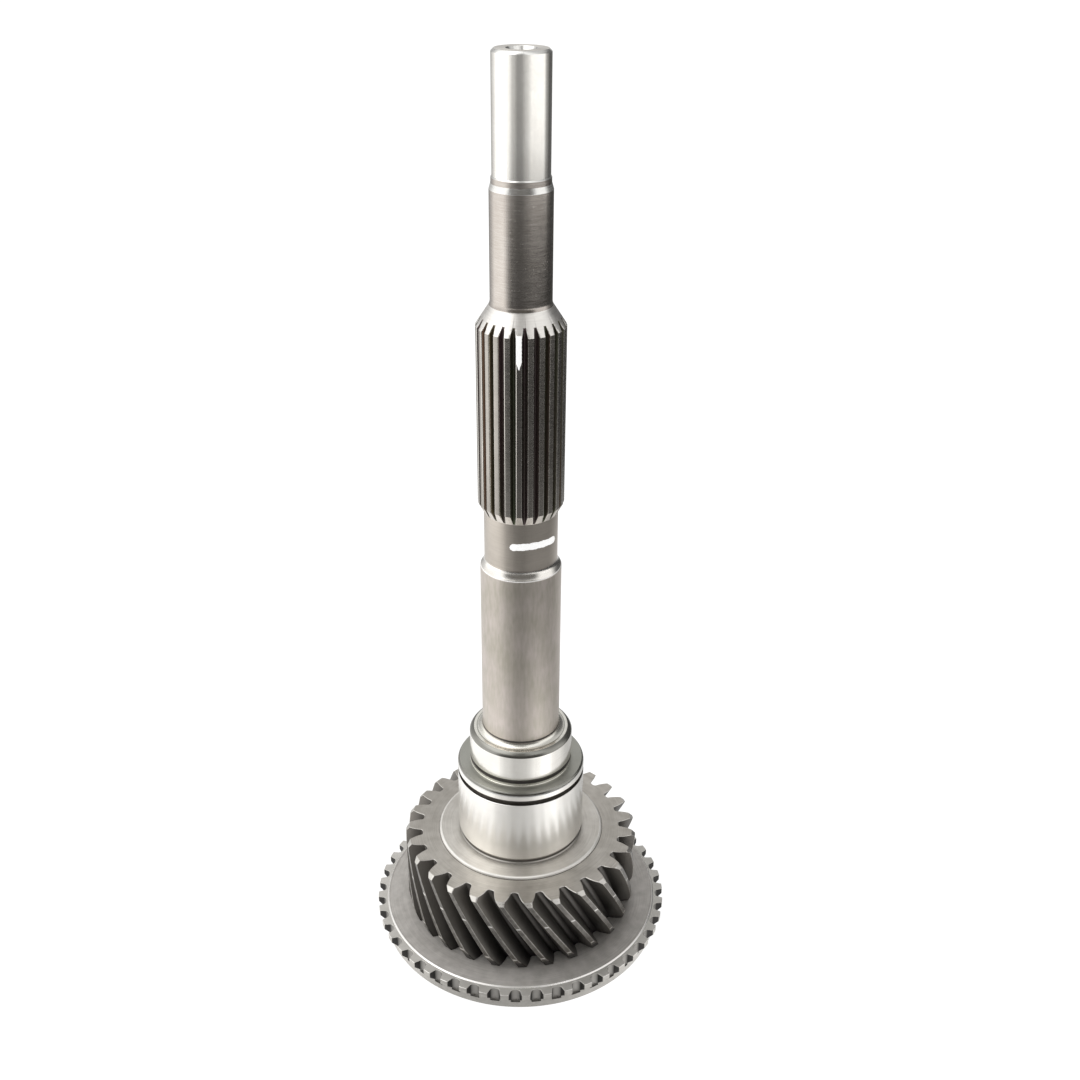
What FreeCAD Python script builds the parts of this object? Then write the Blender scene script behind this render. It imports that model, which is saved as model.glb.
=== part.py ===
import FreeCAD, Part
import math
import os
import Sketcher

# Transmission input shaft: one forging that carries the pilot, the clutch spline, the bearing seat
# and a left-hand helical gear, with a toothed clutch ring pressed onto its rear hub.
# It stands on the ring with its axis along +Z, and the origin is in the middle of the ring's end face.
# All lengths are millimetres.

SIZES = {
    # pilot end, which runs in the bearing of the crankshaft
    "pilot_diameter": 15.74,
    "pilot_length": 31.7,
    "pilot_chamfer": 0.75,
    "pilot_step": 0.25,
    "relief_diameter": 16.3,
    "relief_length": 1.6,
    "centre_hole_diameter": 8.0,
    "centre_drill_diameter": 3.2,
    "centre_drill_length": 3.0,
    # stem and the cone that leads up to the spline
    "stem_diameter": 17.34,
    "stem_length": 31.0,
    "stem_chamfer_length": 1.5,
    "cone_length": 6.3,
    # clutch spline
    "spline_diameter": 25.6,
    "spline_length": 53.7,
    "spline_teeth": 24,
    "spline_depth": 1.65,
    "spline_root_gap": 0.95,
    "spline_tip_gap": 1.84,
    "spline_runout": 3.2,
    "spline_turn": 5.7,
    # neck and the sleeve journal
    "neck_diameter": 22.1,
    "neck_length": 18.0,
    "shoulder_fillet": 5.0,
    "shoulder_arc": 38.0,
    "sleeve_diameter": 24.7,
    "sleeve_length": 60.0,
    "sleeve_chamfer": 0.5,
    # collar for the oil seal
    "collar_diameter": 33.2,
    "collar_length": 12.4,
    "collar_chamfer": 1.5,
    "collar_fillet": 2.0,
    "collar_undercut_width": 2.3,
    "collar_undercut_depth": 0.5,
    # bearing seat with its snap ring groove
    "seat_diameter": 41.5,
    "seat_length": 28.3,
    "seat_chamfer": 1.2,
    "snap_groove_offset": 2.8,
    "snap_groove_width": 1.8,
    "snap_groove_depth": 1.2,
    "seat_undercut_width": 1.9,
    "seat_undercut_depth": 0.4,
    # boss that the bearing's inner race stands on
    "boss_diameter": 55.0,
    "boss_height": 0.9,
    # helical gear
    "gear_tip_diameter": 77.8,
    "gear_width": 27.6,
    "gear_teeth": 27,
    "gear_depth": 5.7,
    "gear_lead": 407.0,
    "gear_turn": 0.9,
    "gear_pitch_depth": 2.6,
    "gear_root_gap": 2.1,
    "gear_pitch_gap": 4.3,
    "gear_tip_gap": 7.4,
    "gear_top_chamfer": 1.2,
    "gear_foot_chamfer_depth": 1.0,
    "gear_foot_chamfer_height": 3.6,
    # hub behind the gear and its pocket for the spigot bearing
    "hub_diameter": 60.0,
    "hub_recess": 1.0,
    "hub_chamfer": 0.5,
    "pocket_diameter": 25.0,
    "pocket_depth": 27.0,
    "pocket_chamfer": 1.0,
    # clutch ring: dog teeth above, the short cone below
    "ring_height": 7.8,
    "ring_face_diameter": 91.8,
    "ring_face_step": 0.35,
    "rim_width": 7.8,
    "rim_edge": 0.3,
    "cone_diameter": 94.6,
    "cone_taper": 0.25,
    "dog_tip_diameter": 98.9,
    "dog_root_diameter": 93.6,
    "dog_teeth": 45,
    "dog_turn": 5.0,
    "dog_foot": 2.7,
    "dog_land_height": 2.05,
    "dog_root_gap": 2.3,
    "dog_tip_gap": 4.3,
    # a fillet takes up at most this share of its step, and cuts run this far past the metal
    "fillet_share": 0.85,
    "cut_reach": 1.0,
    # angles of the drills: half the point of a twist drill, half the mouth of a centre drill
    "drill_half_angle": 59.0,
    "centre_half_angle": 30.0,
}

# Radii and heights that follow from the sizes.
LEVELS = {
    "pilot_radius": "sizes.pilot_diameter / 2",
    "pilot_face_radius": "sizes.pilot_diameter / 2 - sizes.pilot_chamfer",
    "relief_radius": "sizes.relief_diameter / 2",
    "stem_radius": "sizes.stem_diameter / 2",
    "spline_radius": "sizes.spline_diameter / 2",
    "spline_root_radius": "sizes.spline_diameter / 2 - sizes.spline_depth",
    "neck_radius": "sizes.neck_diameter / 2",
    "sleeve_radius": "sizes.sleeve_diameter / 2",
    "collar_radius": "sizes.collar_diameter / 2",
    "collar_face_radius": "sizes.collar_diameter / 2 - sizes.collar_chamfer",
    "seat_radius": "sizes.seat_diameter / 2",
    "seat_face_radius": "sizes.seat_diameter / 2 - sizes.seat_chamfer",
    "boss_radius": "sizes.boss_diameter / 2",
    "boss_face_radius": "sizes.boss_diameter / 2 - sizes.boss_height",
    "gear_tip_radius": "sizes.gear_tip_diameter / 2",
    "gear_face_radius": "sizes.gear_tip_diameter / 2 - sizes.gear_top_chamfer",
    "gear_foot_radius": "sizes.gear_tip_diameter / 2 - sizes.gear_foot_chamfer_depth",
    "gear_root_radius": "sizes.gear_tip_diameter / 2 - sizes.gear_depth",
    "hub_radius": "sizes.hub_diameter / 2",
    "hub_face_radius": "sizes.hub_diameter / 2 - sizes.hub_chamfer",
    "hub_end": "sizes.hub_recess",
    "hub_chamfer_end": "hub_end + sizes.hub_chamfer",
    "gear_low": "sizes.ring_height",
    "gear_foot_end": "gear_low + sizes.gear_foot_chamfer_height",
    "gear_top": "gear_low + sizes.gear_width",
    "gear_shoulder": "gear_top - sizes.gear_top_chamfer",
    "boss_top": "gear_top + sizes.boss_height",
    "seat_top": "boss_top + sizes.seat_length",
    "seat_shoulder": "seat_top - sizes.seat_chamfer",
    "collar_top": "seat_top + sizes.collar_length",
    "collar_shoulder": "collar_top - sizes.collar_chamfer",
    "collar_fillet_top": "collar_top + collar_fillet",
    "collar_fillet": "min(sizes.collar_fillet; sizes.fillet_share * (collar_face_radius - sleeve_radius))",
    "collar_fillet_radius": "sleeve_radius + collar_fillet",
    "sleeve_top": "collar_top + sizes.sleeve_length",
    "sleeve_shoulder": "sleeve_top - sizes.sleeve_chamfer",
    "shoulder_arc_foot": "1 - cos(sizes.shoulder_arc * 1 deg)",
    "shoulder_room": "sizes.fillet_share * (sleeve_radius - neck_radius) / shoulder_arc_foot",
    "shoulder_fillet": "min(sizes.shoulder_fillet; shoulder_room)",
    "shoulder_arc_radius": "neck_radius + shoulder_fillet * shoulder_arc_foot",
    "shoulder_fillet_top": "sleeve_top + shoulder_fillet * sin(sizes.shoulder_arc * 1 deg)",
    "neck_top": "sleeve_top + sizes.neck_length",
    "spline_low": "neck_top + sizes.spline_runout",
    "spline_top": "spline_low + sizes.spline_length",
    "cone_top": "spline_top + sizes.cone_length",
    "stem_top": "cone_top + sizes.stem_length",
    "relief_low": "stem_top + sizes.stem_chamfer_length",
    "relief_top": "relief_low + sizes.relief_length",
    "pilot_low": "relief_top + sizes.pilot_step",
    "total_length": "relief_top + sizes.pilot_length",
    "pilot_shoulder": "total_length - sizes.pilot_chamfer",
    # outlines of the ring
    "ring_face_radius": "sizes.ring_face_diameter / 2",
    "ring_step_radius": "ring_face_radius + sizes.ring_face_step",
    "dog_top": "sizes.ring_height - sizes.ring_face_step",
    "dog_tip_radius": "sizes.dog_tip_diameter / 2",
    "dog_land_low": "dog_top - sizes.dog_land_height",
    "dog_root_radius": "sizes.dog_root_diameter / 2",
    "cone_radius": "sizes.cone_diameter / 2",
    "cone_top_radius": "cone_radius + sizes.cone_taper",
    "cone_rise": "dog_land_low - (dog_tip_radius - cone_top_radius)",
    "rim_edge_radius": "cone_radius - sizes.rim_edge",
    "rim_edge_height": "sizes.rim_edge",
    "rim_inner_radius": "cone_radius - sizes.rim_width",
    "rim_slope_radius": "rim_inner_radius - sizes.hub_recess",
    "ring_bore_chamfer_radius": "hub_radius + sizes.hub_chamfer",
    # outlines of the bores and ring grooves
    "pocket_radius": "sizes.pocket_diameter / 2",
    "pocket_mouth_radius": "pocket_radius + sizes.pocket_chamfer",
    "pocket_chamfer_end": "hub_end + sizes.pocket_chamfer",
    "pocket_floor": "hub_end + sizes.pocket_depth",
    "centre_mouth_radius": "sizes.centre_hole_diameter / 2",
    "centre_drill_radius": "sizes.centre_drill_diameter / 2",
    "centre_cone": "(centre_mouth_radius - centre_drill_radius) / tan(sizes.centre_half_angle * 1 deg)",
    "centre_cone_end": "total_length - centre_cone",
    "centre_drill_end": "centre_cone_end - sizes.centre_drill_length",
    "centre_drill_tip": "centre_drill_end - centre_drill_radius / tan(sizes.drill_half_angle * 1 deg)",
    "snap_groove_top": "seat_top - sizes.snap_groove_offset",
    "snap_groove_low": "snap_groove_top - sizes.snap_groove_width",
    "snap_groove_radius": "seat_radius - sizes.snap_groove_depth",
    "seat_undercut_top": "boss_top + sizes.seat_undercut_width",
    "seat_undercut_radius": "seat_radius - sizes.seat_undercut_depth",
    "collar_undercut_top": "seat_top + sizes.collar_undercut_width",
    "collar_undercut_radius": "collar_radius - sizes.collar_undercut_depth",
    # outlines of one gap of the spline, of the gear and of the ring
    "spline_gap_length": "cone_top - neck_top",
    "spline_root_half": "sizes.spline_root_gap / 2",
    "spline_tip_half": "sizes.spline_tip_gap / 2",
    "spline_slope": "(spline_tip_half - spline_root_half) / sizes.spline_depth",
    "spline_reach": "spline_radius + sizes.cut_reach",
    "spline_reach_half": "spline_tip_half + sizes.cut_reach * spline_slope",
    "gear_pitch_radius": "gear_tip_radius - sizes.gear_pitch_depth",
    "gear_root_half": "sizes.gear_root_gap / 2",
    "gear_pitch_half": "sizes.gear_pitch_gap / 2",
    "gear_tip_half": "sizes.gear_tip_gap / 2",
    "gear_slope": "(gear_tip_half - gear_pitch_half) / sizes.gear_pitch_depth",
    "gear_reach": "gear_tip_radius + sizes.cut_reach",
    "gear_reach_half": "gear_tip_half + sizes.cut_reach * gear_slope",
    "gear_cut_low": "gear_low - sizes.cut_reach",
    "gear_cut_length": "sizes.gear_width + 2 * sizes.cut_reach",
    "gear_cut_turn": "360 * gear_cut_length / sizes.gear_lead",
    "gear_cut_low_turn": "sizes.gear_turn + 360 * (sizes.gear_width + sizes.cut_reach) / sizes.gear_lead",
    "dog_root_half": "sizes.dog_root_gap / 2",
    "dog_tip_half": "sizes.dog_tip_gap / 2",
    "dog_slope": "(dog_tip_half - dog_root_half) / (dog_tip_radius - dog_root_radius)",
    "dog_reach": "dog_tip_radius + sizes.cut_reach",
    "dog_reach_half": "dog_tip_half + sizes.cut_reach * dog_slope",
    "groove_reach": "seat_radius + sizes.cut_reach",
}

GEAR_SECTIONS = 4


def make_sheet():
    sheet = doc.addObject("Spreadsheet::Sheet", "sizes")
    for row, (name, number) in enumerate(SIZES.items(), start=1):
        sheet.set("A%d" % row, name)
        sheet.set("B%d" % row, str(number))
        sheet.setAlias("B%d" % row, name)
    doc.recompute()
    return sheet


def make_levels():
    numbers = doc.addObject("App::VarSet", "levels")
    for name, formula in LEVELS.items():
        numbers.addProperty("App::PropertyFloat", name, "levels")
        numbers.setExpression(name, formula)
    doc.recompute()
    return numbers


def value_of(name):
    """The present value of a named level; a minus before the name turns it round."""
    if name.startswith("-"):
        return -getattr(levels, name[1:])
    return getattr(levels, name)


def formula_of(name):
    return name.replace("-", "-levels.") if name.startswith("-") else "levels." + name


def plane_of(body, role):
    """The body's own origin plane or axis with this role."""
    for feature in body.Origin.OriginFeatures:
        if feature.Role == role:
            return feature
    raise ValueError(role)


def new_body(name):
    body = doc.addObject("PartDesign::Body", name)
    body.Label = name
    return body


def new_sketch(body, name, role):
    sketch = body.newObject("Sketcher::SketchObject", name)
    sketch.AttachmentSupport = [(plane_of(body, role), "")]
    sketch.MapMode = "FlatFace"
    return sketch


def bind(sketch, constraint, name):
    """Adds a constraint and ties its value to a named level."""
    index = sketch.addConstraint(constraint)
    sketch.setExpression("Constraints[%d]" % index, formula_of(name))


def place_point(sketch, edge, end, across, along):
    """Holds one end of an edge at two named distances from the sketch's origin."""
    for kind, axis, name in (("DistanceX", -2, across), ("DistanceY", -1, along)):
        if name is None:
            sketch.addConstraint(Sketcher.Constraint("PointOnObject", edge, end, axis))
        else:
            bind(sketch, Sketcher.Constraint(kind, -1, 1, edge, end, value_of(name)), name)


def point_at(across, along):
    x = value_of(across) if across else 0.0
    y = value_of(along) if along else 0.0
    return FreeCAD.Vector(x, y, 0)


def arc_between(start, end, radius, side):
    """The shorter arc from start to end, with its centre to the left (1) or right (-1) of the way.
    It is stored anticlockwise, so with the centre on the right it begins at the end point."""
    chord = end - start
    leg = math.sqrt(max(radius * radius - (chord.Length / 2) ** 2, 0.0))
    left = FreeCAD.Vector(-chord.y, chord.x, 0) * (1 / chord.Length)
    centre = start + chord * 0.5 + left * (side * leg)
    ends = [start, end] if side > 0 else [end, start]
    angles = [math.atan2(point.y - centre.y, point.x - centre.x) for point in ends]
    if angles[1] < angles[0]:
        angles[1] += 2 * math.pi
    circle = Part.Circle(centre, FreeCAD.Vector(0, 0, 1), radius)
    return Part.ArcOfCircle(circle, *angles)


def outline(sketch, corners):
    """Closes a loop through named corners. A third entry names the radius of the arc that leads to the
    next corner, and a fourth gives the side on which its centre lies."""
    edges = []
    for index, corner in enumerate(corners):
        start = point_at(*corner[:2])
        end = point_at(*corners[(index + 1) % len(corners)][:2])
        if len(corner) > 2:
            edge = sketch.addGeometry(arc_between(start, end, value_of(corner[2]), corner[3]))
            forward = corner[3] > 0
        else:
            edge = sketch.addGeometry(Part.LineSegment(start, end))
            forward = True
        edges.append((edge, 1, 2) if forward else (edge, 2, 1))
    for index, (edge, first, last) in enumerate(edges):
        following = edges[(index + 1) % len(edges)]
        sketch.addConstraint(Sketcher.Constraint("Coincident", edge, last, following[0], following[1]))
    for (edge, first, last), corner in zip(edges, corners):
        place_point(sketch, edge, first, corner[0], corner[1])
        if len(corner) > 2:
            bind(sketch, Sketcher.Constraint("Radius", edge, value_of(corner[2])), corner[2])


def revolve(body, name, corners, kind="PartDesign::Revolution"):
    """Turns an outline of (radius, height) corners about the shaft's axis."""
    sketch = new_sketch(body, name + "_outline", "XZ_Plane")
    outline(sketch, corners)
    feature = body.newObject(kind, name)
    feature.Profile = sketch
    feature.ReferenceAxis = (sketch, ["V_Axis"])
    feature.Angle = 360
    body.Tip = feature
    return feature


def ring_groove(body, name, floor, low, top, reach):
    """A square-cornered groove turned into a cylinder."""
    corners = [(floor, low), (reach, low), (reach, top), (floor, top)]
    return revolve(body, name, corners, "PartDesign::Groove")


def repeat_round(body, name, feature, count):
    """Repeats a cut evenly about the axis."""
    pattern = body.newObject("PartDesign::PolarPattern", name)
    pattern.Originals = [feature]
    pattern.Axis = (plane_of(body, "Z_Axis"), [""])
    pattern.Angle = 360
    pattern.setExpression("Occurrences", "sizes." + count)
    pattern.Refine = False
    body.Tip = pattern
    return pattern


def cross_section(body, name, height, turn, corners):
    """A closed outline across the axis, at a height on it and turned about it."""
    sketch = new_sketch(body, name, "XY_Plane")
    axis = FreeCAD.Vector(0, 0, 1)
    sketch.AttachmentOffset = FreeCAD.Placement(axis, FreeCAD.Rotation(axis, 1))
    sketch.setExpression("AttachmentOffset.Base.z", height)
    sketch.setExpression("AttachmentOffset.Rotation.Angle", turn)
    outline(sketch, corners)
    return sketch


def cut_up(body, name, sketch, length):
    """A pocket from the sketch towards the pilot end."""
    feature = body.newObject("PartDesign::Pocket", name)
    feature.Profile = sketch
    feature.Reversed = True
    feature.Type = "Length"
    feature.setExpression("Length", length)
    body.Tip = feature
    return feature


def turned_blank(body):
    """The forging as it comes off the lathe, from the hub at the foot to the pilot at the top."""
    return revolve(body, "turned_blank", [
        (None, "hub_end"),
        ("hub_face_radius", "hub_end"),
        ("hub_radius", "hub_chamfer_end"),
        ("hub_radius", "gear_low"),
        ("gear_foot_radius", "gear_low"),
        ("gear_tip_radius", "gear_foot_end"),
        ("gear_tip_radius", "gear_shoulder"),
        ("gear_face_radius", "gear_top"),
        ("boss_radius", "gear_top"),
        ("boss_face_radius", "boss_top"),
        ("seat_radius", "boss_top"),
        ("seat_radius", "seat_shoulder"),
        ("seat_face_radius", "seat_top"),
        ("collar_radius", "seat_top"),
        ("collar_radius", "collar_shoulder"),
        ("collar_face_radius", "collar_top"),
        ("collar_fillet_radius", "collar_top", "collar_fillet", -1),
        ("sleeve_radius", "collar_fillet_top"),
        ("sleeve_radius", "sleeve_shoulder"),
        ("shoulder_arc_radius", "sleeve_top", "shoulder_fillet", -1),
        ("neck_radius", "shoulder_fillet_top"),
        ("neck_radius", "neck_top"),
        ("spline_radius", "spline_low"),
        ("spline_radius", "spline_top"),
        ("stem_radius", "cone_top"),
        ("stem_radius", "stem_top"),
        ("relief_radius", "relief_low"),
        ("relief_radius", "relief_top"),
        ("pilot_radius", "pilot_low"),
        ("pilot_radius", "pilot_shoulder"),
        ("pilot_face_radius", "total_length"),
        (None, "total_length"),
    ])


def bores(body):
    """The flat-bottomed pocket for the spigot bearing, and the centre hole in the pilot's face."""
    revolve(body, "spigot_pocket", [
        (None, "hub_end"),
        ("pocket_mouth_radius", "hub_end"),
        ("pocket_radius", "pocket_chamfer_end"),
        ("pocket_radius", "pocket_floor"),
        (None, "pocket_floor"),
    ], "PartDesign::Groove")
    revolve(body, "centre_hole", [
        (None, "total_length"),
        ("centre_mouth_radius", "total_length"),
        ("centre_drill_radius", "centre_cone_end"),
        ("centre_drill_radius", "centre_drill_end"),
        (None, "centre_drill_tip"),
    ], "PartDesign::Groove")


def clutch_spline(body):
    corners = [
        ("spline_root_radius", "-spline_root_half"),
        ("spline_reach", "-spline_reach_half"),
        ("spline_reach", "spline_reach_half"),
        ("spline_root_radius", "spline_root_half"),
    ]
    sketch = cross_section(body, "spline_gap_outline", "levels.neck_top", "sizes.spline_turn", corners)
    gap = cut_up(body, "spline_gap", sketch, "levels.spline_gap_length")
    repeat_round(body, "clutch_spline", gap, "spline_teeth")


def helical_gear(body):
    """One tooth gap is a loft through cross-sections that turn with the left-hand lead. Its flanks bend
    at the pitch circle, which keeps the teeth convex as an involute does."""
    corners = [
        ("gear_root_radius", "-gear_root_half"),
        ("gear_pitch_radius", "-gear_pitch_half"),
        ("gear_reach", "-gear_reach_half"),
        ("gear_reach", "gear_reach_half"),
        ("gear_pitch_radius", "gear_pitch_half"),
        ("gear_root_radius", "gear_root_half"),
    ]
    sections = []
    for index in range(GEAR_SECTIONS):
        share = index / (GEAR_SECTIONS - 1)
        height = "levels.gear_cut_low + %r * levels.gear_cut_length" % share
        turn = "levels.gear_cut_low_turn - %r * levels.gear_cut_turn" % share
        sections.append(cross_section(body, "gear_gap_outline_%d" % index, height, turn, corners))
    gap = body.newObject("PartDesign::SubtractiveLoft", "gear_gap")
    gap.Profile = sections[0]
    gap.Sections = sections[1:]
    gap.Ruled = False
    gap.Refine = False
    body.Tip = gap
    repeat_round(body, "helical_gear", gap, "gear_teeth")


def input_shaft():
    body = new_body("input_shaft")
    turned_blank(body)
    ring_groove(body, "snap_ring_groove", "snap_groove_radius", "snap_groove_low",
                "snap_groove_top", "groove_reach")
    ring_groove(body, "seat_undercut", "seat_undercut_radius", "boss_top",
                "seat_undercut_top", "groove_reach")
    ring_groove(body, "collar_undercut", "collar_undercut_radius", "seat_top",
                "collar_undercut_top", "groove_reach")
    bores(body)
    clutch_spline(body)
    helical_gear(body)
    return body


def clutch_ring():
    """The toothed ring on the hub: dog teeth round the top and a short cone below them."""
    body = new_body("clutch_ring")
    revolve(body, "ring_blank", [
        ("hub_radius", "hub_chamfer_end"),
        ("ring_bore_chamfer_radius", "hub_end"),
        ("rim_slope_radius", "hub_end"),
        ("rim_inner_radius", None),
        ("rim_edge_radius", None),
        ("cone_radius", "rim_edge_height"),
        ("cone_top_radius", "cone_rise"),
        ("dog_tip_radius", "dog_land_low"),
        ("dog_tip_radius", "dog_top"),
        ("ring_step_radius", "dog_top"),
        ("ring_face_radius", "gear_low"),
        ("hub_radius", "gear_low"),
    ])
    corners = [
        ("dog_root_radius", "-dog_root_half"),
        ("dog_reach", "-dog_reach_half"),
        ("dog_reach", "dog_reach_half"),
        ("dog_root_radius", "dog_root_half"),
    ]
    sketch = cross_section(body, "dog_gap_outline", "sizes.dog_foot", "sizes.dog_turn", corners)
    gap = cut_up(body, "dog_gap", sketch, "sizes.ring_height")
    repeat_round(body, "dog_teeth", gap, "dog_teeth")
    return body


def check(document, bodies):
    """Stops if anything in the document failed or a piece isn't one valid solid."""
    for item in document.Objects:
        if "Invalid" in item.State or "Error" in item.State:
            raise RuntimeError("%s is %s" % (item.Name, item.State))
    for body in bodies:
        shape = body.Shape
        if shape.isNull() or not shape.isValid():
            raise RuntimeError("%s has no valid shape" % body.Label)
        if len(shape.Solids) != 1:
            raise RuntimeError("%s has %d solids" % (body.Label, len(shape.Solids)))


doc = FreeCAD.newDocument("transmission_input_shaft")
sizes = make_sheet()
levels = make_levels()
pieces = [input_shaft(), clutch_ring()]
doc.recompute()
check(doc, pieces)
os.makedirs("parts", exist_ok=True)
for piece in pieces:
    piece.Shape.exportStep("parts/%s.step" % piece.Label)
    print("%s: %.0f cubic mm, %d faces" % (piece.Label, piece.Shape.Volume, len(piece.Shape.Faces)))
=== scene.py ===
import math

import bmesh
import bpy
from mathutils import Matrix, Vector


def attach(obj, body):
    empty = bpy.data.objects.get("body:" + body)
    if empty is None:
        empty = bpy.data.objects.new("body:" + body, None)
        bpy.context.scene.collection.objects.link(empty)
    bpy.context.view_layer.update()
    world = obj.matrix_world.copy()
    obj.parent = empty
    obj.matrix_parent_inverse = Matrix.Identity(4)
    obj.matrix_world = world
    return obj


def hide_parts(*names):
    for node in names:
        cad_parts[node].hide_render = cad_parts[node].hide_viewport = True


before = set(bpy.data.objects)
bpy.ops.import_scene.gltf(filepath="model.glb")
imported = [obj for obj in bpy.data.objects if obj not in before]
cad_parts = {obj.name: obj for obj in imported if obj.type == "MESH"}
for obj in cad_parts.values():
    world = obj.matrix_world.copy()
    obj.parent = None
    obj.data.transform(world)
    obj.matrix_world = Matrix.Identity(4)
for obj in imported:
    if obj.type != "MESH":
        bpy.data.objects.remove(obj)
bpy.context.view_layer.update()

# Transmission input shaft with its clutch ring, standing on the ring, axis along +Z.
# Lengths below are millimetres; meshes are written in metres.
MM = 0.001

# small rounds on the gear's end faces and on the dog teeth, and breaks of turned corners
EDGE = 0.13
DOG_EDGE = 0.09
BREAK = 0.1
FINE_BREAK = 0.05

# heights up the shaft
HUB_END = 1.0
RING_TOP = 7.8
GEAR_FOOT = 11.4
POCKET_FLOOR = 28.0
GEAR_TOP = 35.4
BOSS_TOP = 36.3
UNDERCUT_MIDDLE = 37.5
UNDERCUT_HIGH = 37.9
SEAT_LOW = 38.2
SEAT_TOP = 64.6
COLLAR_UNDERCUT_HIGH = 66.5
COLLAR_LOW = 66.9
COLLAR_TOP = 77.0
SHOULDER_LOW = 136.5
NECK_TOP = 155.0
SPLINE_LOW = 158.2
SPLINE_TOP = 211.9
CONE_TOP = 218.2
STEM_TOP = 249.2
RELIEF_LOW = 250.7
RELIEF_TOP = 252.3
TOTAL = 284.0

# radii
POCKET = 12.5
HUB = 30.0
GEAR_ROOT = 33.2
GEAR_FOOT_TIP = 37.9
GEAR_TIP = 38.9
GEAR_FACE_INNER = 32.6
BOSS = 27.5
BOSS_MIDDLE = 26.0
BOSS_INNER = 22.5
SEAT = 20.75
SEAT_FACE_INNER = 17.3
COLLAR = 16.6
SLEEVE = 12.35
NECK = 11.05
SPLINE_TIP = 12.8
SPLINE_ROOT = 11.15
STEM = 8.67
RELIEF = 8.15
PILOT = 7.87
CENTRE_HOLE = 4.0
CENTRE_DRILL = 1.6

# how fast the cone above the spline narrows
CONE_SLOPE = (SPLINE_TIP - STEM) / (CONE_TOP - SPLINE_TOP)

# widths, depths and rounds
POCKET_CHAMFER = 1.0
HUB_CHAMFER = 0.5
GEAR_TOP_CHAMFER = 1.2
BOSS_ROUND = 0.9
BOSS_BREAK = 0.15
SEAT_UNDERCUT = 0.4
SEAT_FOOT_ROUND = 0.3
SNAP_RING_GROOVE_WIDTH = 1.8
SNAP_RING_GROOVE_DEPTH = 1.2
SNAP_RING_GROOVE_BELOW_TOP = 2.8
SEAT_CHAMFER = 1.2
COLLAR_UNDERCUT = 0.5
COLLAR_CHAMFER = 1.5
COLLAR_FILLET = 2.0
SHOULDER_FILLET = 5.0
SHOULDER_ARC = 39.0
CONE_FILLET = 3.0
CENTRE_HOLE_BREAK = 0.15
CENTRE_CONE_DEPTH = 4.1
CENTRE_DRILL_DEPTH = 7.1
CENTRE_POINT_DEPTH = 8.0

# clutch ring
RING_FACE = 45.9
RING_STEP = 0.35
RING_FACE_INNER = 39.0
RING_LINE = 45.28
RING_LINE_WIDTH = 0.12
BAND = 47.55
BAND_FOOT = 47.3
BAND_TOP = 3.5
BAND_CLEAR = 0.01
DOG_TIP = 49.45
DOG_ROOT = 46.8
DOG_LAND_MIDDLE = 6.4
DOG_LAND_LOW = 5.4
DOG_FOOT = 2.7
RIM_INNER = 39.5


# Meshes from stacked loops
class Skin:
    """A closed surface made of loops of points that are joined one after the other."""

    def __init__(self, zones):
        self.zones = zones
        self.points = []
        self.faces = []
        self.face_zones = []

    def add(self, loop):
        first = len(self.points)
        self.points.extend(loop)
        return list(range(first, first + len(loop)))

    def face(self, corners, zone):
        self.faces.append(corners)
        self.face_zones.append(self.zones.index(zone))

    def join(self, low, high, zone):
        """Quads between two loops with the same number of points, facing outwards. The zone is one
        name, or a list of names that repeats from tooth to tooth."""
        count = len(low)
        for i in range(count):
            j = (i + 1) % count
            which = zone if isinstance(zone, str) else zone[i % len(zone)]
            self.face((low[i], low[j], high[j], high[i]), which)

    def zip(self, low, high, zone):
        """Triangles between two loops with different numbers of points, matched by their angles."""
        def angle_of(index):
            x, y, _ = self.points[index]
            return math.atan2(y, x) % math.tau

        def from_zero(loop):
            start = min(range(len(loop)), key=lambda k: angle_of(loop[k]))
            return loop[start:] + loop[:start]

        a = from_zero(low)
        b = from_zero(high)
        angles_a = [angle_of(k) for k in a] + [math.tau + angle_of(a[0])]
        angles_b = [angle_of(k) for k in b] + [math.tau + angle_of(b[0])]
        i = j = 0
        while i < len(a) or j < len(b):
            corner_a = a[i % len(a)]
            corner_b = b[j % len(b)]
            if j >= len(b) or (i < len(a) and angles_a[i + 1] <= angles_b[j + 1]):
                self.face((corner_a, a[(i + 1) % len(a)], corner_b), zone)
                i += 1
            else:
                self.face((corner_a, b[(j + 1) % len(b)], corner_b), zone)
                j += 1

    def cap(self, loop, height, zone, facing_up):
        centre = self.add([(0.0, 0.0, height)])[0]
        count = len(loop)
        for i in range(count):
            j = (i + 1) % count
            corners = (loop[i], loop[j], centre) if facing_up else (loop[j], loop[i], centre)
            self.face(corners, zone)

    def build(self, name, materials, sharp_angle=24.0):
        mesh = bpy.data.meshes.new(name)
        mesh.from_pydata([(x * MM, y * MM, z * MM) for x, y, z in self.points], [], self.faces)
        for zone in self.zones:
            mesh.materials.append(materials[zone])
        mesh.polygons.foreach_set("material_index", self.face_zones)
        mesh.polygons.foreach_set("use_smooth", [True] * len(self.faces))
        mesh.validate()
        piece = bpy.data.objects.new(name, mesh)
        bpy.context.collection.objects.link(piece)
        merge_close(mesh)
        mesh.set_sharp_from_angle(angle=math.radians(sharp_angle))
        weights = piece.modifiers.new("weighted_normals", "WEIGHTED_NORMAL")
        weights.keep_sharp = True
        weights.weight = 100
        return piece


def merge_close(mesh):
    """Welds points that fell together, such as the ends of grooves that run out."""
    work = bmesh.new()
    work.from_mesh(mesh)
    bmesh.ops.remove_doubles(work, verts=work.verts, dist=0.002 * MM)
    bmesh.ops.dissolve_degenerate(work, edges=work.edges, dist=0.0005 * MM)
    work.to_mesh(mesh)
    work.free()


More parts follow.
